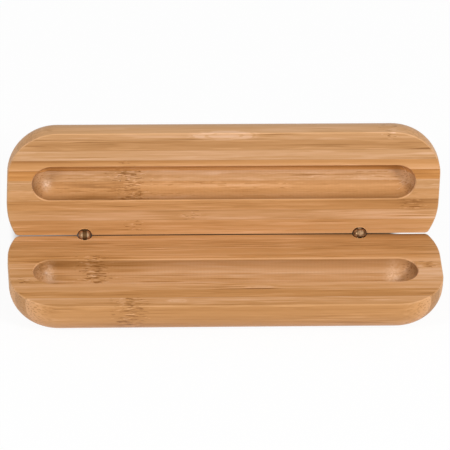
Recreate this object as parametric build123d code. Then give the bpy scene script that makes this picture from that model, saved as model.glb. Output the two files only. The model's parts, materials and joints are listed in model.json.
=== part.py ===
from build123d import *
import os
from itertools import cycle

# Bamboo pen case: two like halves of glued bamboo staves, joined along the spine by two
# knuckle hinges whose pegs sit in slanted bores. Millimetres, +Z up. X runs along the case,
# -Y is the front, and the origin is the middle of the base's underside.
# The lid is shown open, as it stands in use.

# The two halves
case_length = 170.0
half_depth = 46.0          # spine to front edge of one half
half_height = 17.3         # inside face to outside face of one half
front_corner = 19.4        # corner radius in plan, at the front
rear_corner = 28.5         # the larger curve that the saw cuts through at the spine
outer_round = 13.8         # round-over between the walls and the outside face
saw_margin = 0.7           # flat left between the saw cut and the blank's rear round-over
edge_break = 0.35          # broken edge round the inside face and the saw cut
spine_gap = 0.3            # daylight between the halves when shut
open_angle = 95.0          # how far the lid stands open here

# The pen groove, cut with a ball-nose cutter
groove_length = 150.8
groove_radius = 7.6
groove_from_spine = 23.3

# Widths of the glued staves, from the spine to the front; the front stave takes the rest
base_stave_widths = [3.2, 4.8, 5.0, 5.1, 4.3, 4.6, 4.1, 4.4, 5.0, 5.5]
lid_stave_widths = [2.0, 4.6, 4.4, 4.6, 4.7, 4.5, 4.5, 4.6, 4.4, 4.6]
thinnest_front_stave = 2.0

# The hinges
hinge_spacing = 108.6      # centre to centre
bore_angle = 45.0          # slant of the bores from the inside face and from the spine
ball_radius = 2.6          # the ball-nosed rod that both leaves are milled from
knuckle_radius = 2.3
tongue_thickness = 1.44
prong_thickness = 1.6
leaf_gap = 0.08            # each side of the tongue
neck_width = 3.0
shoulder_gap = 0.5         # from the knuckle to the shoulder of the peg
pocket_clearance = 0.35    # round the turning ball
peg_radius = 1.9           # over the barbs
peg_core_radius = 1.6
peg_length = 11.0          # from the pivot to the tip
peg_fit = 0.05             # radial, peg in bore
collar_length = 0.9
barb_pitch = 1.6
barb_slope = 1.1           # length of one barb's taper
tip_taper = 0.5
bore_spare = 0.6           # bore deeper than the peg's tip
drill_tip = 1.1            # cone left by the drill
rivet_radius = 0.6
rivet_fit = 0.01           # radial, rivet in the prongs
pivot_clearance = 0.04     # radial, rivet in the tongue
rivet_bevel = 0.1

# What follows from those sizes
rear_waste = outer_round + saw_margin
prong_centre = tongue_thickness / 2 + leaf_gap + prong_thickness / 2
fork_half_width = prong_centre + prong_thickness / 2
pocket_radius = ball_radius + pocket_clearance
shoulder = knuckle_radius + shoulder_gap
bore_radius = peg_radius + peg_fit
bore_depth = peg_length + bore_spare
pivot_offset = spine_gap / 2

# How a round piece is set so that it hangs down from its own origin
hanging = (Align.CENTER, Align.CENTER, Align.MAX)


def blank_half():
    # A rounded block with its outside edge rounded over, sawn off square at the spine. The edges
    # of the saw cut and of the inside face are broken, but not the one where they meet.
    depth = half_depth + rear_waste
    plan = Pos(0, rear_waste - depth / 2) * Rectangle(case_length, depth)
    plan = fillet(plan.vertices().group_by(Axis.Y)[0], front_corner)
    plan = fillet(plan.vertices().group_by(Axis.Y)[-1], rear_corner)
    block = extrude(plan, amount=-half_height)
    block = fillet(block.edges().group_by(Axis.Z)[0], min(outer_round, half_height - 2 * edge_break))
    half = block - Box(case_length, rear_waste, half_height, align=(Align.CENTER, Align.MIN, Align.MAX))
    spine_outline = half.faces().sort_by(Axis.Y)[-1].edges().sort_by(Axis.Z)
    half = chamfer(spine_outline[:-1], edge_break)
    face_outline = half.faces().sort_by(Axis.Z)[-1].edges().sort_by(Axis.Y)
    return chamfer(face_outline[:-1], edge_break)


def pen_groove():
    # Round-bottomed channel with round ends, centred on the inside face, with its rim broken.
    end = groove_length / 2 - groove_radius
    channel = Cylinder(groove_radius, 2 * end, rotation=(0, 90, 0))
    for side in (-1, 1):
        channel += Pos(side * end, 0, 0) * Sphere(groove_radius)
    rim = SlotOverall(groove_length + 2 * edge_break, 2 * (groove_radius + edge_break))
    channel += extrude(rim, amount=-2 * edge_break, taper=45)
    return Pos(0, -groove_from_spine, 0) * channel


def seat(x):
    # Frame of one hinge in a half: the pivot is its origin, and the peg runs along its -Z.
    return Pos(x, pivot_offset, pivot_offset) * Rot(-bore_angle, 0, 0)


def hinge_cut():
    # Ball-shaped pocket for the turning knuckle, and the drilled bore for the barbed peg.
    bore = Cylinder(bore_radius, bore_depth, align=hanging)
    tip = Pos(0, 0, -bore_depth) * Cone(0, bore_radius, drill_tip, align=hanging)
    return Sphere(pocket_radius) + bore + tip


def machined_half():
    half = blank_half() - pen_groove()
    for side in (-1, 1):
        half -= seat(side * hinge_spacing / 2) * hinge_cut()
    return half


def stave_edges(widths):
    # Distances of the glue lines from the spine, up to the front edge.
    edges = [0.0]
    for width in cycle(widths):
        if edges[-1] + width > half_depth - thinnest_front_stave:
            break
        edges.append(edges[-1] + width)
    return edges + [half_depth]


def stave(half, near, far):
    # The part of a half that lies between two glue lines.
    slab = Box(case_length, far - near, half_height, align=(Align.CENTER, Align.MAX, Align.MAX))
    return half & (Pos(0, -near, 0) * slab)


def leaf_plate(thickness, hole_radius):
    # Flat eye and neck of a hinge leaf, square to the pivot.
    eye = Circle(knuckle_radius)
    neck = Pos(0, -shoulder / 2) * Rectangle(neck_width, shoulder)
    outline = eye + neck - Circle(hole_radius)
    return extrude(Plane.YZ * outline, amount=thickness / 2, both=True)


def turned_head():
    # The ball and stem of the rod that the leaf is milled from.
    return Sphere(ball_radius) + Cylinder(peg_radius, shoulder, align=hanging)


def barbed_shank():
    # Collar, core, a row of barbs that slope towards the tip, and a tapered tip.
    core_length = peg_length - shoulder - tip_taper
    shank = Pos(0, 0, -shoulder) * Cylinder(peg_radius, collar_length, align=hanging)
    shank += Pos(0, 0, -shoulder) * Cylinder(peg_core_radius, core_length, align=hanging)
    tip = Cone(peg_core_radius - tip_taper, peg_core_radius, tip_taper, align=hanging)
    shank += Pos(0, 0, -shoulder - core_length) * tip
    for number in range(1, int((core_length - collar_length) / barb_pitch) + 1):
        top = shoulder + collar_length + number * barb_pitch - barb_slope
        shank += Pos(0, 0, -top) * Cone(peg_core_radius, peg_radius, barb_slope, align=hanging)
    return shank


def fork_peg():
    # The base's leaf: two prongs on a barbed peg.
    plate = leaf_plate(prong_thickness, rivet_radius + rivet_fit)
    prong = (Pos(-prong_centre, 0, 0) * plate) & turned_head()
    return barbed_shank() + prong + mirror(prong, about=Plane.YZ)


def tongue_peg():
    # The lid's leaf: one tongue, which turns between the prongs, on a barbed peg.
    tongue = leaf_plate(tongue_thickness, rivet_radius + pivot_clearance)
    return (tongue & turned_head()) + barbed_shank()


def rivet():
    # The pivot, a plain pin whose bevelled ends lie flush in the prongs.
    pin = Cylinder(rivet_radius, 2 * fork_half_width, rotation=(0, 90, 0))
    return chamfer(pin.edges().filter_by(GeomType.CIRCLE), rivet_bevel)


# Where each half stands: the base flat on its outside face, the lid turned over onto it and
# then swung open about the line of the pivots.
pivot_y = half_depth / 2 + pivot_offset
pivot_z = half_height + pivot_offset
base_place = Pos(0, half_depth / 2, half_height)
shut_lid_place = Pos(0, half_depth / 2, half_height + spine_gap) * Rot(0, 180, 0)
swing = Pos(0, pivot_y, pivot_z) * Rot(-open_angle, 0, 0) * Pos(0, -pivot_y, -pivot_z)
lid_place = swing * shut_lid_place

nodes = {}
half = machined_half()
halves = {"base": (base_place, base_stave_widths), "lid": (lid_place, lid_stave_widths)}
for name, (place, widths) in halves.items():
    edges = stave_edges(widths)
    for number, (near, far) in enumerate(zip(edges, edges[1:]), start=1):
        nodes[f"{name}_stave_{number:02d}"] = place * stave(half, near, far)

for side, sign in (("left", -1), ("right", 1)):
    x = sign * hinge_spacing / 2
    nodes[f"{side}_hinge_fork_peg"] = base_place * seat(x) * fork_peg()
    nodes[f"{side}_hinge_rivet"] = base_place * seat(x) * rivet()
    nodes[f"{side}_hinge_tongue_peg"] = lid_place * seat(-x) * tongue_peg()

os.makedirs("parts", exist_ok=True)
for name, shape in nodes.items():
    shape.label = name
    export_step(shape, f"parts/{name}.step")
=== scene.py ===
import json
from math import cos, pi, radians, sin

import bpy
from mathutils import Matrix, Vector


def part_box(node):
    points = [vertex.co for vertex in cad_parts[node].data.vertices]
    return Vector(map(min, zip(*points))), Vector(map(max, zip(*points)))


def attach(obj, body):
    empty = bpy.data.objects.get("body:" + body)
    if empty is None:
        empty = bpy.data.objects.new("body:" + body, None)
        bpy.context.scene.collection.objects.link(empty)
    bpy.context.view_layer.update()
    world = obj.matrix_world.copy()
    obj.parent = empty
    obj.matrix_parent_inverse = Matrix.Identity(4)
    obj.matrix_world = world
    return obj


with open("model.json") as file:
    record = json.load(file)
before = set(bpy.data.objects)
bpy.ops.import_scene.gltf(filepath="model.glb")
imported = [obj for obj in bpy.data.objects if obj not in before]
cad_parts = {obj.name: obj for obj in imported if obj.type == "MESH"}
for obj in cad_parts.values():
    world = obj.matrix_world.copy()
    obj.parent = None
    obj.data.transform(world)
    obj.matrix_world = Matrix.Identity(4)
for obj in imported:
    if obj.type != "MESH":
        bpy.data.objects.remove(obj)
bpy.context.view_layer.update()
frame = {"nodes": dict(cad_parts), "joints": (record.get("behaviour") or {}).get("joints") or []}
print("frame loaded,", len(frame["nodes"]), "nodes")

mm = 1000.0   # in a metre


class Wire:
    # A shader socket. A sum written with it adds the Math node for that sum.
    def __init__(self, finish, socket):
        self.finish, self.socket = finish, socket

    def math(self, operation, first, second=0.0):
        return self.finish.node("ShaderNodeMath", {"operation": operation}, {0: first, 1: second})

    def __add__(self, other):
        return self.math("ADD", self, other)

    def __radd__(self, other):
        return self.math("ADD", other, self)

    def __sub__(self, other):
        return self.math("SUBTRACT", self, other)

    def __rsub__(self, other):
        return self.math("SUBTRACT", other, self)

    def __mul__(self, other):
        return self.math("MULTIPLY", self, other)

    def __rmul__(self, other):
        return self.math("MULTIPLY", other, self)

    def __truediv__(self, other):
        return self.math("DIVIDE", self, other)

    def __neg__(self):
        return self.math("MULTIPLY", self, -1.0)

    def size(self):
        return self.math("ABSOLUTE", self)

    def root(self):
        return self.math("SQRT", self)

    def wave(self):
        return self.math("SINE", self)

    def bell(self):
        return self.math("EXPONENT", -(self * self))  # 1 at nought, falling off on both sides

    def most(self, other):
        return self.math("MAXIMUM", self, other)


class Finish:
    # The shader of a material or a world, and the one method that adds any node to it.
    def __init__(self, owner):
        self.owner = owner
        owner.use_nodes = True
        self.tree = owner.node_tree
        self.tree.nodes.clear()

    def node(self, kind, settings=None, links=None, output=0):
        made = self.tree.nodes.new(kind)
        for key, value in (settings or {}).items():
            if key == "stops":
                ramp = made.color_ramp.elements
                while len(ramp) < len(value):
                    ramp.new(0.5)
                for stop, (place, colour) in zip(ramp, value):
                    stop.position, stop.color = place, (*colour, 1.0)
            else:
                setattr(made, key, value)
        for key, value in (links or {}).items():
            socket = made.inputs[key]
            if isinstance(value, Wire):
                self.tree.links.new(value.socket, socket)
            elif socket.type == "RGBA":
                socket.default_value = (*value, 1.0)
            else:
                socket.default_value = value
        return Wire(self, made.outputs[output]) if made.outputs else None

    def vector(self, x, y, z):
        return self.node("ShaderNodeCombineXYZ", {}, {0: x, 1: y, 2: z})

    def parts(self, vector):
        split = self.node("ShaderNodeSeparateXYZ", {}, {0: vector})
        return [Wire(self, socket) for socket in split.socket.node.outputs]

    def axes(self, toFrame=Matrix()):
        # x, y and z in mm, moved and turned into another frame.
        seen = self.node("ShaderNodeTexCoord", {}, {}, "Object")
        return self.parts(self.node("ShaderNodeMapping", {}, {
            "Vector": seen, "Location": toFrame.translation * mm,
            "Rotation": toFrame.to_euler(), "Scale": (mm, mm, mm)}))

    def noise(self, x, y, z, detail=2.0):
        # Noise about nought, mostly within a quarter either way.
        where = self.vector(x, y, z)
        return self.node("ShaderNodeTexNoise", {}, {"Vector": where, "Scale": 1.0, "Detail": detail}) - 0.5

    def ease(self, value, start, end):
        # 0 at start, 1 at end, with soft ends.
        return self.node("ShaderNodeMapRange", {"interpolation_type": "SMOOTHSTEP"},
                         {"Value": value, "From Min": start, "From Max": end})

    def mix(self, share, first, second):
        return self.node("ShaderNodeMix", {"data_type": "RGBA"}, {0: share, 6: first, 7: second}, 2)

    def tint(self, share, colour, by):
        return self.node("ShaderNodeMix", {"data_type": "RGBA", "blend_type": "MULTIPLY"},
                         {0: share, 6: colour, 7: by}, 2)

    def shade(self, colour, brightness):
        # The colour made lighter or darker.
        return self.node("ShaderNodeVectorMath", {"operation": "SCALE"}, {0: colour, "Scale": brightness})

    def bump(self, strength, distance, height):
        return self.node("ShaderNodeBump", {}, {
            "Strength": strength, "Distance": distance, "Height": height})

    def seenDirectly(self):
        # 1 for rays from the camera and for those that metal or glass sends on.
        rays = self.node("ShaderNodeLightPath")
        camera, glossy, through = (Wire(self, rays.socket.node.outputs[f"Is {kind} Ray"])
                                   for kind in ("Camera", "Glossy", "Transmission"))
        return camera.most(glossy).most(through)

    def show(self, shader, kind="ShaderNodeOutputMaterial"):
        self.node(kind, {}, {"Surface": shader})
        return self.owner


# The frame of a half, in which its bamboo is laid out: the spine is the plane y = 0, the inside
# face is z = 0, and the wood lies towards -y and -z. The lid is turned over end to end and swung open.
hinge = frame["joints"][0]
pivot = Vector(hinge["pos_m"])
openAngle = -radians(hinge["range_deg"][0])
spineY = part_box("base_stave_01")[1].y
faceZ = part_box("base_stave_01")[1].z

basePlace = Matrix.Translation((0, spineY, faceZ))
shutPlace = Matrix.Translation((0, spineY, 2 * pivot.z - faceZ)) @ Matrix.Rotation(pi, 4, "Y")
swing = Matrix.Translation(pivot) @ Matrix.Rotation(-openAngle, 4, "X") @ Matrix.Translation(-pivot)
lidPlace = swing @ shutPlace

# Bamboo colours run from the darkest fibres to the palest, and strengths are in steps of that run.
# Lengths are in mm. A pair of numbers is where a change starts and where it ends.
bamboo = {
    "streak": (0.290, 0.125, 0.037),
    "dark": (0.442, 0.206, 0.067),
    "middle": (0.545, 0.270, 0.100),
    "light": (0.642, 0.340, 0.155),
    "pale": (0.738, 0.436, 0.245),
    # Pale: torn fibres and scratches, and painted highlights.
    "torn": (0.790, 0.510, 0.320),
    "pit": (0.110, 0.055, 0.025),
    "cool": (-0.05, 0.023, 0.18),    # what a cool stave gains in red, green and blue
    "broad": 0.52,                   # bands a few mm wide
    "middling": 0.60,                # bands 1 to 2 mm wide
    "fine": 0.38,
    "hair": 0.34,
    "darkLines": 0.34,               # single dark fibres
    "paleLines": 0.15,
    "lineEdge": (0.12, 0.21),
    "flames": 0.12,                  # pale lenses
    "flameEdge": (0.09, 0.17),
    "calmest": 0.55,                 # streaks come and go, from this strength
    "livelier": 0.9,                 # by up to this much more
    "calmEdge": (-0.12, 0.12),
    "smearEdge": (-0.12, 0.10),
    "endsFrom": (22.0, 80.0),        # along from the middle, where a stave's ends differ
    "swayDown": 0.7,                 # how much of the fibres' sway is down into the wood
    "cutEdge": (0.10, 0.50),         # how squarely a face cuts across the fibres
    "wallEdge": (0.3, 0.9),          # how far a face turns to the front
    "cutFades": 0.75,                # how much weaker bands and fibres are on cut faces
    "wallFades": 0.3,                # and on the front wall
    "roughness": 0.46,
    "fibreGloss": 0.12,
    "endRoughness": 0.08,
    "gloss": 0.12,
    "coat": 0.10,
    "coatRoughness": 0.26,
    "bump": 0.25,
    "bumpHeight": 0.00006,           # in metres
    "fineBump": 0.5,
    "hairBump": 0.4,
    "bundleBump": 0.5,
    "dashBump": 0.5,
}
knots = {
    "weave": 0.9,                    # how far the fibres part round a node of the culm
    "dark": 0.08,
    "dashes": 0.74,                  # dark dashes, and pale ones at half their strength
    "dashEdge": (0.17, 0.24),
    "dashFrom": (0.04, 0.25),
    "moreDark": 0.15,                # how much thicker the marks are in the middle of a node
    "morePale": 0.12,
    "morePits": 0.10,
    "pits": 0.85,
    "pitEdge": (0.32, 0.38),
    "pitFrom": (0.3, 0.6),
}
eyes = {
    "ragged": 0.5,
    "deep": 3.0,
    "edge": (0.78, 1.02),
    "arcs": 17.0,                    # how close the arcs are
    "arcEdge": (0.45, 1.00),
    "arcFrom": (0.1, 0.3),
    "arcStrength": 0.8,
    "rim": (0.70, 1.00),
    "rimShorter": 1.3,               # the rim is that much shorter than the lens
}
cutEnds = {
    "grain": (0.465, 0.260, 0.128),
    "greyness": 0.65,
    "lighter": 0.12,
    "bundles": 0.70,                 # the dots of cut fibre bundles
    "bundleEdge": (0.10, 0.50),
    "bundlesAlong": 0.05,            # how many to a mm
    "bundlesOver": 1.50,
}
paintedLightAndGlue = {
    "edge": 0.08,                    # a painted highlight on the broken edges, which face half upwards
    "highlightFacing": 0.70,
    "highlightSpread": (0.10, 0.25),
    "highlightDepth": (0.36, 0.45),
    "rubbed": (0.93, 0.85, 0.74),    # painted shade, a warm tint towards the bottom of the base
    "rubbedFrom": (7.0, 14.0),
    "seamShadeWide": (0.0, 3.0),         # painted shade along the saw cut, where the lid stands further off
    "seamShadeFrom": (5.0, 55.0),
    "glueWide": (0.05, 0.45),
}
groove = {
    "fromSpine": 23.3,
    "halfWidth": 7.95,
    "rimSoft": 0.3,
    "halfAxis": 67.8,                # the line that the middle of the cutter's ball ran along
    "endFrom": (-1, 4),              # from the end of that line
    # The colour that the painted shade in the groove mixes towards.
    "deep": (0.10, 0.03, 0.0),
    "below": (0.2, 0.8),
    "steep": (0.05, 0.95),
    "chatterPitch": 1.4,             # marks that the cutter left
    "chatter": 0.010,
    "speckleEdge": (-0.16, 0.12),
    "bundlesHide": 0.4,
    "scratchRings": 4.4,
    "scratchWaver": 1.5,
    "scratchEdge": (0.70, 1.00),
    "scratchFrom": (2.5, 4.5),
    "patches": 0.30,                 # the scratches are patchy
    "patchStart": 3.7,
    "patchEdge": (-0.05, 0.15),
    "tornPlain": 0.35,
    "tornSpeckled": 0.65,
}
pocket = {"fromMiddle": 54.3, "reach": 3.1, "soft": 0.2, "brightness": 0.5}  # round each hinge

# Layers of noise: how fast each changes in a mm along and across the fibres, its detail, and how
# far it is shifted by a stave's seed, so that no two layers or staves are alike.
layers = {
    "sway": (0.008, 0.10, 1.0, 1.0),
    "weave": (0.15, 0.80, 1.0, 1.0),
    "broad": (0.006, 0.28, 1.0, 1.7),
    "middling": (0.016, 0.70, 2.0, 3.3),
    "fine": (0.050, 1.20, 2.0, 7.1),
    "hair": (0.110, 2.40, 1.0, 5.9),
    "singles": (0.024, 1.35, 1.0, 9.1),
    "calm": (0.013, 0.20, 1.0, 2.9),
    "flames": (0.038, 0.60, 1.0, 6.3),
    "smears": (0.035, 0.85, 1.0, 4.1),
    "dashes": (0.27, 1.80, 2.0, 2.3),
    "pits": (0.9, 1.3, 1.0, 8.3),
    "ragged": (0.16, 1.4, 2.0, 1.0),
    "speckle": (1.1, 1.1, 2.0, 1.0),
}

# Each stave from the spine to the front. "tone" is how light it is, "slope" how much lighter its
# front side is than its rear side, "ends" how much lighter its left and right ends are, and "bed"
# how much lighter it is in the groove. "cool" takes some orange out of it. "glue" darkens the glue
# line on its rear side, shade painted along the saw cut darkens its rim there, "endTone" lightens
# its cut ends, and "wavy" makes its fibres weave all along. Its marks are knots (x, half length,
# strength), smudges (x, half length, strength) and eyes (x, distance from the spine, half length,
# half width, darkness of the front rim, paleness).
baseStaves = [
    # The first stave's darker rear side and right end, and its darker rim at the saw cut, are painted
    # shade from the lid.
    {"tone": 0.12, "slope": 0.14, "ends": (-0.02, -0.34), "cool": 0.0, "glue": 0.0,
     "seamShade": 0.36},
    {"tone": -0.10, "slope": -0.05, "ends": (0.02, 0.01), "cool": 0.2, "glue": 0.10},
    {"tone": -0.03, "slope": 0.01, "ends": (-0.02, -0.02), "cool": 0.0, "glue": 0.12},
    {"tone": 0.14, "slope": 0.26, "ends": (-0.18, 0.00), "cool": -0.3, "glue": 0.10,
     "knots": [(-51.5, 6, 1.0)], "smudges": [(-66, 9, -0.30), (-41, 10, -0.26)]},
    {"tone": 0.14, "slope": -0.01, "ends": (0.07, -0.03), "cool": 0.0, "glue": 0.10,
     "knots": [(-50.5, 7, 1.0), (79, 4, 0.8)], "smudges": [(-64, 8, -0.40)]},
    {"tone": 0.23, "slope": 0.05, "ends": (-0.17, 0.17), "cool": 0.2, "glue": 0.04,
     "knots": [(-51, 6, 0.8)]},
    {"tone": -0.05, "slope": -0.34, "ends": (0.09, 0.12), "cool": 0.2, "glue": 0.06,
     "knots": [(-79, 3.5, 0.8)]},
    {"tone": 0.15, "slope": -0.11, "ends": (0.01, 0.05), "cool": 0.0, "glue": 0.08,
     "eyes": [(12, 34.0, 7, 0.95, 1.2, 0.30)]},
    {"tone": -0.03, "slope": -0.15, "ends": (0.12, -0.10), "cool": -0.2, "glue": 0.08,
     "endTone": -0.34},
    {"tone": 0.04, "slope": -0.33, "ends": (0.09, 0.02), "cool": 0.1, "glue": 0.14,
     "knots": [(-38.5, 5.5, 0.9)], "eyes": [(-20, 42.6, 5, 1.2, 0.0, 0.22)]},
]
lidStaves = [
    {"tone": 0.12, "slope": -0.17, "ends": (-0.20, 0.02), "cool": 0.0, "glue": 0.0},
    {"tone": 0.06, "slope": 0.01, "ends": (-0.18, 0.01), "cool": 0.2, "glue": 0.10,
     "knots": [(-35, 4, 0.6)]},
    {"tone": 0.15, "slope": -0.21, "ends": (-0.18, 0.07), "cool": 0.7, "glue": 0.10,
     "knots": [(-12, 5, 0.35)], "smudges": [(-20, 18, -0.22)],
     "eyes": [(-12.4, 8.8, 5.5, 1.5, 0.0, 0.12)]},
    {"tone": -0.02, "slope": -0.22, "ends": (-0.08, -0.15), "cool": 0.2, "glue": 0.12,
     "knots": [(75, 5, 0.9)]},
    {"tone": 0.11, "slope": -0.11, "ends": (-0.07, -0.11), "cool": 0.5, "glue": 0.12,
     "bed": -0.13, "wavy": 1.6, "knots": [(-36, 6, 0.9)], "smudges": [(-50, 11, -0.30)]},
    {"tone": 0.06, "slope": 0.10, "ends": (-0.07, -0.02), "cool": 1.0, "glue": 0.04,
     "bed": 0.10, "wavy": 1.6, "knots": [(-37, 7, 0.9)], "smudges": [(-45, 10, -0.24)]},
    {"tone": 0.08, "slope": -0.22, "ends": (-0.22, -0.25), "cool": -1.0, "glue": 0.06,
     "knots": [(-38, 5, 0.6)]},
    {"tone": 0.13, "slope": -0.52, "ends": (-0.22, -0.12), "cool": 0.0, "glue": 0.06,
     "knots": [(-41, 4, 0.4)]},
    {"tone": 0.09, "slope": -0.21, "ends": (-0.08, 0.00), "cool": 1.2, "glue": 0.10},
    {"tone": -0.11, "slope": 0.04, "ends": (-0.02, 0.01), "cool": 0.9, "glue": 0.14},
    {"tone": 0.04, "slope": 0.06, "ends": (-0.11, -0.09), "cool": 1.1, "glue": 0.12,
     "endTone": -0.05, "knots": [(64, 3.5, 0.6)], "eyes": [(-1, 44.8, 15, 2.4, 0.0, 0.28)]},
]

# What each half has of its own: how strong its streaks are, how much light is painted on its front
# wall, how much shade is painted towards its underside, how much shade is painted on the walls, the
# ends and the floor of its groove, how scratched the ends are, and where the fibres tore and a
# highlight is painted (x, distance from the spine, half length, half width, strength).
halves = {
    "base": {
        "place": basePlace, "staves": baseStaves, "seed": 0.0,
        "streaks": 0.92, "frontWall": -0.02, "underside": 1.0,
        "grooveWall": 0.20, "grooveEnds": (0.08, 0.26), "grooveFloor": 0.17,
        "scratches": (0.25, 0.0),
        "torn": [(-68.7, 18.6, 1.8, 2.4, 0.75), (66.4, 19.4, 2.8, 2.8, 0.80)],
    },
    "lid": {
        "place": lidPlace, "staves": lidStaves, "seed": 50.0,
        "streaks": 0.76, "frontWall": 0.20, "underside": 0.0,
        "grooveWall": 0.42, "grooveEnds": (0.20, -0.12), "grooveFloor": 0.03,
        "scratches": (0.15, 0.70),
        "torn": [(-69.2, 19.6, 1.6, 1.8, 1.20)],
    },
}
seedStep = 11.3   # from a stave's seed to the next one's


class StaveFinish(Finish):
    # The bamboo of one stave, from its rear glue line (near) to its front one (far).
    def __init__(self, name, half, stave, near, far, seed):
        super().__init__(bpy.data.materials.new(name))
        self.half, self.stave, self.seed = half, stave, seed
        self.x, self.y, self.z = self.axes(half["place"].inverted())
        self.normal = self.node("ShaderNodeTexCoord", {}, {}, "Normal")
        self.fromRear = -self.y - near
        self.across = self.fromRear / (far - near)
        cross = self.facing(1, 0, 0).size()
        self.endOn = cross * cross   # 1 where the fibres are cut square across
        self.cut = self.ease(cross, *bamboo["cutEdge"])   # 1 already where they are cut at a slant
        self.up = self.facing(0, 0, 1)
        self.frontWall = self.ease(self.facing(0, -1, 0), *bamboo["wallEdge"])
        self.layFibres()
        self.layGroove()

    def facing(self, *direction):
        # 1 on faces turned this way in the frame of the half, -1 on those turned away.
        towards = (self.half["place"].to_3x3() @ Vector(direction)).normalized()
        return self.node("ShaderNodeVectorMath", {"operation": "DOT_PRODUCT"},
                         {0: self.normal, 1: towards}, "Value")

    def grain(self, layer, y=None, z=None):
        # A layer of noise that follows the fibres, or straight over the y and z given.
        along, over, detail, start = layers[layer]
        y, z = y or self.fibreY, z or self.fibreZ
        return self.noise(self.x * along + self.seed * start, y * over, z * over, detail)

    def layFibres(self):
        # The fibres sway, and weave near a node of the culm.
        sway = self.grain("sway", self.y, self.z)
        self.fibreY, self.fibreZ = self.y + sway, self.z + sway * bamboo["swayDown"]
        self.knot = None
        for spot, reach, strength in self.stave.get("knots", []):
            one = ((self.x - spot) / reach).bell() * strength
            self.knot = self.knot.most(one) if self.knot else one
        if self.knot:
            weave = self.grain("weave", self.y, self.z)
            weave = weave * (self.knot * knots["weave"] + self.stave.get("wavy", 0.0))
            self.fibreY, self.fibreZ = self.fibreY + weave, self.fibreZ - weave

    def layGroove(self):
        # How far off the groove's middle line a point is, and whether it is in the groove.
        fromEnd = (self.x.size() - groove["halfAxis"]).most(0.0)
        offAxis = self.y + groove["fromSpine"]
        self.ring = (fromEnd * fromEnd + offAxis * offAxis).root()
        cutterReach = (self.ring * self.ring + self.z * self.z).root()
        outside = self.ease(cutterReach, groove["halfWidth"], groove["halfWidth"] + groove["rimSoft"])
        self.sunk = self.ease(-self.z, *groove["below"]) * (1 - outside)

    def tone(self):
        stave = self.stave
        level = 0.5 + stave["tone"] + (self.across - 0.5) * stave["slope"]
        if "bed" in stave:
            level = level + self.sunk * stave["bed"]
        for side, change in zip((-1, 1), stave["ends"]):
            if change:
                level = level + self.ease(self.x * side, *bamboo["endsFrom"]) * change
        return level

    def figure(self):
        # Bands and fibres, weaker where they are cut across and on the front wall.
        self.fine, self.hair = self.grain("fine"), self.grain("hair")
        singles = self.grain("singles")
        darkLines = self.ease(singles, *bamboo["lineEdge"])
        paleLines = self.ease(-singles, *bamboo["lineEdge"])
        streaks = (self.grain("middling") * bamboo["middling"]
                   + self.fine * bamboo["fine"] + self.hair * bamboo["hair"]
                   - darkLines * bamboo["darkLines"] + paleLines * bamboo["paleLines"])
        lively = self.ease(self.grain("calm"), *bamboo["calmEdge"]) * bamboo["livelier"]
        streaks = streaks * ((bamboo["calmest"] + lively) * self.half["streaks"])
        flames = self.ease(self.grain("flames"), *bamboo["flameEdge"])
        bands = self.grain("broad") * bamboo["broad"] + streaks + flames * bamboo["flames"]
        onWall = 1 - self.frontWall * bamboo["wallFades"]
        return bands * (1 - self.cut * bamboo["cutFades"]) * onWall

    def smudgeMarks(self, level):
        for spot, reach, strength in self.stave.get("smudges", []):
            smear = self.ease(self.grain("smears"), *bamboo["smearEdge"])
            level = level + ((self.x - spot) / reach).bell() * smear * strength
        return level

    def knotMarks(self, level):
        # Dashes and pits near a node of the culm.
        if not self.knot:
            return level
        dashField = self.grain("dashes")
        nearKnot = self.ease(self.knot, *knots["dashFrom"])
        dark = self.ease(dashField + self.knot * knots["moreDark"], *knots["dashEdge"]) * nearKnot
        pale = self.ease(self.knot * knots["morePale"] - dashField, *knots["dashEdge"]) * nearKnot
        pits = self.ease(self.grain("pits") + self.knot * knots["morePits"], *knots["pitEdge"])
        self.pits = pits * self.ease(self.knot, *knots["pitFrom"])
        self.dashes = pale - dark
        level = level - self.knot * knots["dark"]
        return level + pale * (knots["dashes"] * 0.5) - dark * knots["dashes"]

    def eyeMarks(self, level):
        # Where the cut grazes a node: a pale lens with a few arcs in it.
        for spot, depth, reach, width, shadow, glow in self.stave.get("eyes", []):
            along, over = (self.x - spot) / reach, (self.y + depth) / width
            below = self.z / eyes["deep"]
            lens = (along * along + over * over + below * below).root()
            lens = lens + self.grain("ragged", self.y, self.z) * eyes["ragged"]
            pale = 1 - self.ease(lens, *eyes["edge"])
            arcs = self.ease((lens * eyes["arcs"]).wave(), *eyes["arcEdge"])
            arcs = arcs * self.ease(lens, *eyes["arcFrom"])
            rim = self.ease(-over, *eyes["rim"]) * (along * eyes["rimShorter"]).bell()
            level = level + (pale - arcs * pale * eyes["arcStrength"]) * glow - rim * shadow
        return level

    def woodColour(self, level):
        colour = self.node("ShaderNodeValToRGB", {"stops": [
            (0.0, bamboo["streak"]), (0.28, bamboo["dark"]), (0.5, bamboo["middle"]),
            (0.72, bamboo["light"]), (1.0, bamboo["pale"])]}, {"Fac": level})
        cool = tuple(1 + self.stave["cool"] * change for change in bamboo["cool"])
        colour = self.tint(1.0, colour, cool)
        if self.knot:
            colour = self.mix(self.pits * knots["pits"], colour, bamboo["pit"])
        return colour

    def endColour(self, colour):
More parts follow.
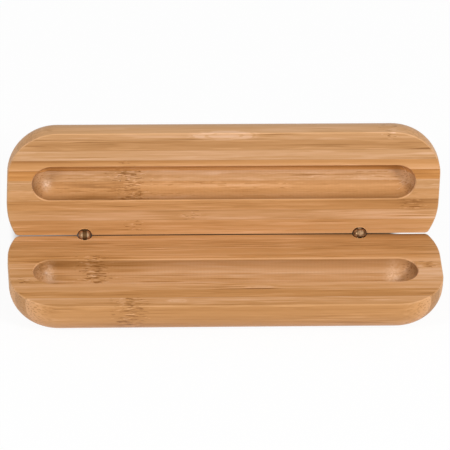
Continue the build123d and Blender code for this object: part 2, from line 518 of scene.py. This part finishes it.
        # Cut ends are greyer, with the fibre bundles as dots.
        where = self.vector(self.x * cutEnds["bundlesAlong"] + self.seed,
                            self.y * cutEnds["bundlesOver"], self.z * cutEnds["bundlesOver"])
        toBundle = self.node("ShaderNodeTexVoronoi", {}, {
            "Vector": where, "Scale": 1.0, "Randomness": 0.9})
        self.bundle = 1 - self.ease(toBundle, *cutEnds["bundleEdge"])
        colour = self.mix(self.endOn * cutEnds["greyness"], colour, cutEnds["grain"])
        colour = self.mix(self.bundle * self.cut * cutEnds["bundles"], colour, bamboo["streak"])
        lighter = 1 + self.endOn * self.stave.get("endTone", 0.0) + self.cut * cutEnds["lighter"]
        return self.shade(colour, lighter)

    def paintedLightAndPocketColour(self, colour):
        # Painted highlight on the broken edges, painted light on the lid's front wall and a little painted
        # shade on the base's, lighter pockets round the hinges, and painted shade towards the base's
        # underside.
        # A highlight painted along the broken edges.
        offEdge = self.ease((self.up - paintedLightAndGlue["highlightFacing"]).size(), *paintedLightAndGlue["highlightSpread"])
        edge = (1 - offEdge) * (1 - self.ease(-self.z, *paintedLightAndGlue["highlightDepth"]))
        colour = self.mix(edge * paintedLightAndGlue["edge"], colour, bamboo["torn"])
        # Lighter in the pockets round the hinges.
        along = self.x.size() - pocket["fromMiddle"]
        fromHinge = (along * along + self.y * self.y + self.z * self.z).root()
        inPocket = 1 - self.ease(fromHinge, pocket["reach"] - pocket["soft"], pocket["reach"])
        # Painted light on the front wall, strongest on the lid's.
        wall = self.frontWall * self.half["frontWall"]
        colour = self.shade(colour, 1 + wall + inPocket * pocket["brightness"])
        # Painted shade, darker and warmer towards the bottom of the base.
        if self.half["underside"]:
            lowShade = self.ease(-self.z, *paintedLightAndGlue["rubbedFrom"]) * self.half["underside"]
            colour = self.tint(lowShade, colour, paintedLightAndGlue["rubbed"])
        return colour

    def grooveColour(self, colour):
        # Painted shade in the groove, most on its steep walls, with the cutter's chatter marks; and pale
        # where the cutter tore the fibres as it turned up, with a painted highlight there too.
        x, y, z, half = self.x, self.y, self.z, self.half
        steep = 1 - self.ease(self.up, *groove["steep"])
        chatter = (x * (2 * pi / groove["chatterPitch"])).wave() * groove["chatter"]
        # Painted shade in the groove: deepest on its steep walls, more on its floor and at its ends, with
        # the cutter's chatter marks.
        darkness = steep * half["grooveWall"] + half["grooveFloor"] + chatter
        speckle = self.ease(self.grain("speckle", y, z), *groove["speckleEdge"])
        speckle = speckle * (1 - self.bundle * groove["bundlesHide"])
        rings = (self.ring * groove["scratchRings"] + speckle * groove["scratchWaver"]).wave()
        patches = self.noise(x * groove["patches"] + groove["patchStart"],
                             y * groove["patches"], z * groove["patches"])
        scratched = self.ease(rings, *groove["scratchEdge"])
        scratched = scratched * self.ease(self.ring, *groove["scratchFrom"])
        scratched = scratched * self.ease(patches, *groove["patchEdge"]) * self.sunk
        endStart, endFull = (groove["halfAxis"] + further for further in groove["endFrom"])
        for side, dark, scratches in zip((-1, 1), half["grooveEnds"], half["scratches"]):
            atEnd = self.ease(x * side, endStart, endFull)
            darkness = darkness + atEnd * self.endOn * dark
            if scratches:
                colour = self.mix(scratched * atEnd * scratches, colour, bamboo["torn"])
        colour = self.mix(self.sunk * darkness, colour, groove["deep"])
        # Pale patches at the ends of the groove: torn fibres, and a painted highlight of the lamps.
        for spot, depth, reach, width, strength in half["torn"]:
            torn = ((x - spot) / reach).bell() * ((y + depth) / width).bell() * self.sunk
            torn = torn * (groove["tornPlain"] + speckle * groove["tornSpeckled"]) * strength
            colour = self.mix(torn, colour, bamboo["torn"])
        return colour

    def seamColour(self, colour):
        # Painted shade along the saw cut, and the glue line on the rear side.
        if "seamShade" in self.stave:
            seamShadeMask = 1 - self.ease(-self.y, *paintedLightAndGlue["seamShadeWide"])
            seamShadeMask = seamShadeMask * self.ease(self.x, *paintedLightAndGlue["seamShadeFrom"])
            colour = self.shade(colour, 1 - seamShadeMask * self.stave["seamShade"])
        if self.stave["glue"]:
            line = 1 - self.ease(self.fromRear, *paintedLightAndGlue["glueWide"])
            colour = self.shade(colour, 1 - line * self.stave["glue"])
        return colour

    def surface(self, colour):
        height = (self.fine * bamboo["fineBump"] + self.hair * bamboo["hairBump"]
                  - self.bundle * self.cut * bamboo["bundleBump"])
        if self.knot:
            height = height + self.dashes * bamboo["dashBump"] - self.pits
        roughness = (bamboo["roughness"] - self.fine * bamboo["fibreGloss"]
                     + self.endOn * bamboo["endRoughness"])
        return self.show(self.node("ShaderNodeBsdfPrincipled", {}, {
            "Base Color": colour, "Roughness": roughness,
            "Normal": self.bump(bamboo["bump"], bamboo["bumpHeight"], height),
            "Specular IOR Level": bamboo["gloss"],
            "Coat Weight": bamboo["coat"], "Coat Roughness": bamboo["coatRoughness"]}))


def bambooFinish(name, half, stave, near, far, seed):
    f = StaveFinish(name, half, stave, near, far, seed)
    level = f.smudgeMarks(f.tone() + f.figure())
    level = f.eyeMarks(f.knotMarks(level))
    colour = f.endColour(f.woodColour(level))
    colour = f.grooveColour(f.paintedLightAndPocketColour(colour))
    return f.surface(f.seamColour(colour))


def staveSpan(node, place):
    # Distances in mm from the spine to a stave's two glued faces.
    toHalf = place.inverted()
    depths = [-(toHalf @ vertex.co).y * mm for vertex in node.data.vertices]
    return min(depths), max(depths)


def endForEnd(marked):
    # The lid lies end for end in its own frame, so its marks and ends swap sides.
    swapped = dict(marked)
    for pair in ("ends", "grooveEnds", "scratches"):
        if pair in marked:
            swapped[pair] = marked[pair][::-1]
    for kind in ("knots", "smudges", "eyes", "torn"):
        swapped[kind] = [(-mark[0], *mark[1:]) for mark in marked.get(kind, [])]
    return swapped


def dress(node, finish):
    node.data.materials.clear()
    node.data.materials.append(finish)


halves["lid"] = endForEnd(halves["lid"])
halves["lid"]["staves"] = [endForEnd(stave) for stave in lidStaves]
for body, half in halves.items():
    for number, stave in enumerate(half["staves"], start=1):
        name = f"{body}_stave_{number:02d}"
        node = frame["nodes"][name]
        near, far = staveSpan(node, half["place"])
        seed = number * seedStep + half["seed"]
        dress(node, bambooFinish(name + ".bamboo", half, stave, near, far, seed))
        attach(node, body)
print("bamboo done")

brass = {
    "clean": (0.43, 0.265, 0.145),
    "tarnish": (0.122, 0.060, 0.021),
    "tarnishEdge": (-0.12, 0.14),
    "patches": 0.9,          # how many to a mm
    "scratchAlong": 9.0,
    "scratchOver": 1.2,
    "scratched": 0.4,        # how far the tarnish follows the scratches
    "roughness": 0.34,
    "dullRoughness": 0.18,
    "scratchRoughness": 0.2,
    "metallic": 0.9,
    "bump": 0.15,
    "bumpHeight": 0.00003,   # in metres
}


def brassFinish(name, tarnish):
    f = Finish(bpy.data.materials.new(name))
    x, y, z = f.axes()
    patch, over = brass["patches"], brass["scratchOver"]
    patches = f.noise(x * patch, y * patch, z * patch, 3.0)
    scratches = f.noise(x * brass["scratchAlong"], y * over, z * over, 2.0)
    dull = f.ease(patches + scratches * brass["scratched"] + tarnish, *brass["tarnishEdge"])
    roughness = (brass["roughness"] + dull * brass["dullRoughness"]
                 + scratches * brass["scratchRoughness"])
    return f.show(f.node("ShaderNodeBsdfPrincipled", {}, {
        "Base Color": f.mix(dull, brass["clean"], brass["tarnish"]),
        "Roughness": roughness, "Metallic": brass["metallic"],
        "Normal": f.bump(brass["bump"], brass["bumpHeight"], scratches)}))


# Which body each part rides, and how far the tarnish goes on it.
hingeParts = {
    "left_hinge_fork_peg": ("base", -0.06),
    "left_hinge_rivet": ("base", 0.00),
    "left_hinge_tongue_peg": ("lid", 0.30),
    "right_hinge_fork_peg": ("base", 0.03),
    "right_hinge_rivet": ("base", 0.00),
    "right_hinge_tongue_peg": ("lid", -0.05),
}
for name, (body, tarnish) in hingeParts.items():
    node = frame["nodes"][name]
    dress(node, brassFinish(name + ".brass", tarnish))
    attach(node, body)
print("hinges done")

# Lengths of the stage, the lamps and the view are in metres.
stage = {
    "floorSize": 6.0,
    "floorDrop": 0.00002,
    "floorColour": (0.93, 0.93, 0.93),
    "paintedShadowColour": (0.13, 0.09, 0.06),   # a shadow painted on the floor for direct rays, deepest behind the base
    "shadowMiddle": (-0.004, 0.046),
    "shadowAlong": (0.073, 0.079),        # where it starts to fade and ends, from its middle
    "shadowAcross": (0.003, 0.034),
    "shadowThins": (0.045, 0.075),        # to the left, where the halves almost touch
    "thinShare": 0.16,
    "whiteShare": 0.93,
    "skyStrength": 0.41,
}


def floorFinish():
    f = Finish(bpy.data.materials.new("paleFloor"))
    x, y, z = f.parts(f.node("ShaderNodeTexCoord", {}, {}, "Object"))
    middle = stage["shadowMiddle"]
    beside = f.ease((x - middle[0]).size(), *stage["shadowAlong"])
    before = f.ease((y - middle[1]).size(), *stage["shadowAcross"])
    thinner = f.ease(-x, *stage["shadowThins"]) * stage["thinShare"]
    openFloor = beside.most(before).most(thinner)
    direct = f.seenDirectly()
    # Direct rays see a shadow painted on the floor behind the base, dark through the seam; the floor that
    # lights the case stays pale.
    colour = f.mix(direct * (1 - openFloor), stage["floorColour"], stage["paintedShadowColour"])
    plain = f.node("ShaderNodeBsdfDiffuse", {}, {"Color": colour})
    glow = f.node("ShaderNodeEmission", {}, {"Color": (1.0, 1.0, 1.0), "Strength": 1.0})
    return f.show(f.node("ShaderNodeMixShader", {}, {
        0: direct * openFloor * stage["whiteShare"], 1: plain, 2: glow}))


bpy.ops.mesh.primitive_plane_add(size=stage["floorSize"], location=(0, 0, -stage["floorDrop"]))
floor = bpy.context.object
floor.name = "floor"
floor.data.materials.append(floorFinish())

sky = Finish(bpy.data.worlds.new("studio"))
skyStrength = stage["skyStrength"] + sky.seenDirectly() * (1 - stage["skyStrength"])
bpy.context.scene.world = sky.show(
    sky.node("ShaderNodeBackground", {}, {"Color": (1.0, 1.0, 1.0), "Strength": skyStrength}),
    "ShaderNodeOutputWorld")

lamps = {
    "right": {"from": (0.86, -0.89, 0.86), "watts": 14.0},
    "left": {"from": (-1.05, -0.72, 0.76), "watts": 8.2},
}
lampSize = 0.25
lampAim = Vector((0, 0.01, 0.03))
for name, lamp in lamps.items():
    light = bpy.data.lights.new(name, "AREA")
    light.shape = "SQUARE"
    light.size = lampSize
    light.energy = lamp["watts"]
    holder = bpy.data.objects.new(name, light)
    bpy.context.scene.collection.objects.link(holder)
    holder.location = lamp["from"]
    holder.rotation_euler = (lampAim - holder.location).to_track_quat("-Z", "Y").to_euler()

view = {
    "aim": (0.0009, 0.0230, 0.0222),
    "distance": 2.360,
    "azimuth": 5.58,
    "elevation": 36.33,
    "roll": 2.94,
    "lens": 480.0,
    "sensor": 36.0,
    "farthest": 20.0,
}
azimuth, elevation = radians(view["azimuth"]), radians(view["elevation"])
ahead = Vector((sin(azimuth) * cos(elevation), cos(azimuth) * cos(elevation), -sin(elevation)))
camera = bpy.data.objects.new("camera", bpy.data.cameras.new("camera"))
bpy.context.scene.collection.objects.link(camera)
camera.data.lens = view["lens"]
camera.data.sensor_width = view["sensor"]
camera.data.clip_end = view["farthest"]
facingAhead = (Matrix.Rotation(-azimuth, 4, "Z")
               @ Matrix.Rotation(radians(90 - view["elevation"]), 4, "X")
               @ Matrix.Rotation(radians(view["roll"]), 4, "Z"))
camera.matrix_world = Matrix.Translation(Vector(view["aim"]) - ahead * view["distance"]) @ facingAhead
bpy.context.scene.camera = camera
bpy.context.scene.view_settings.view_transform = "Standard"
print("stage done")
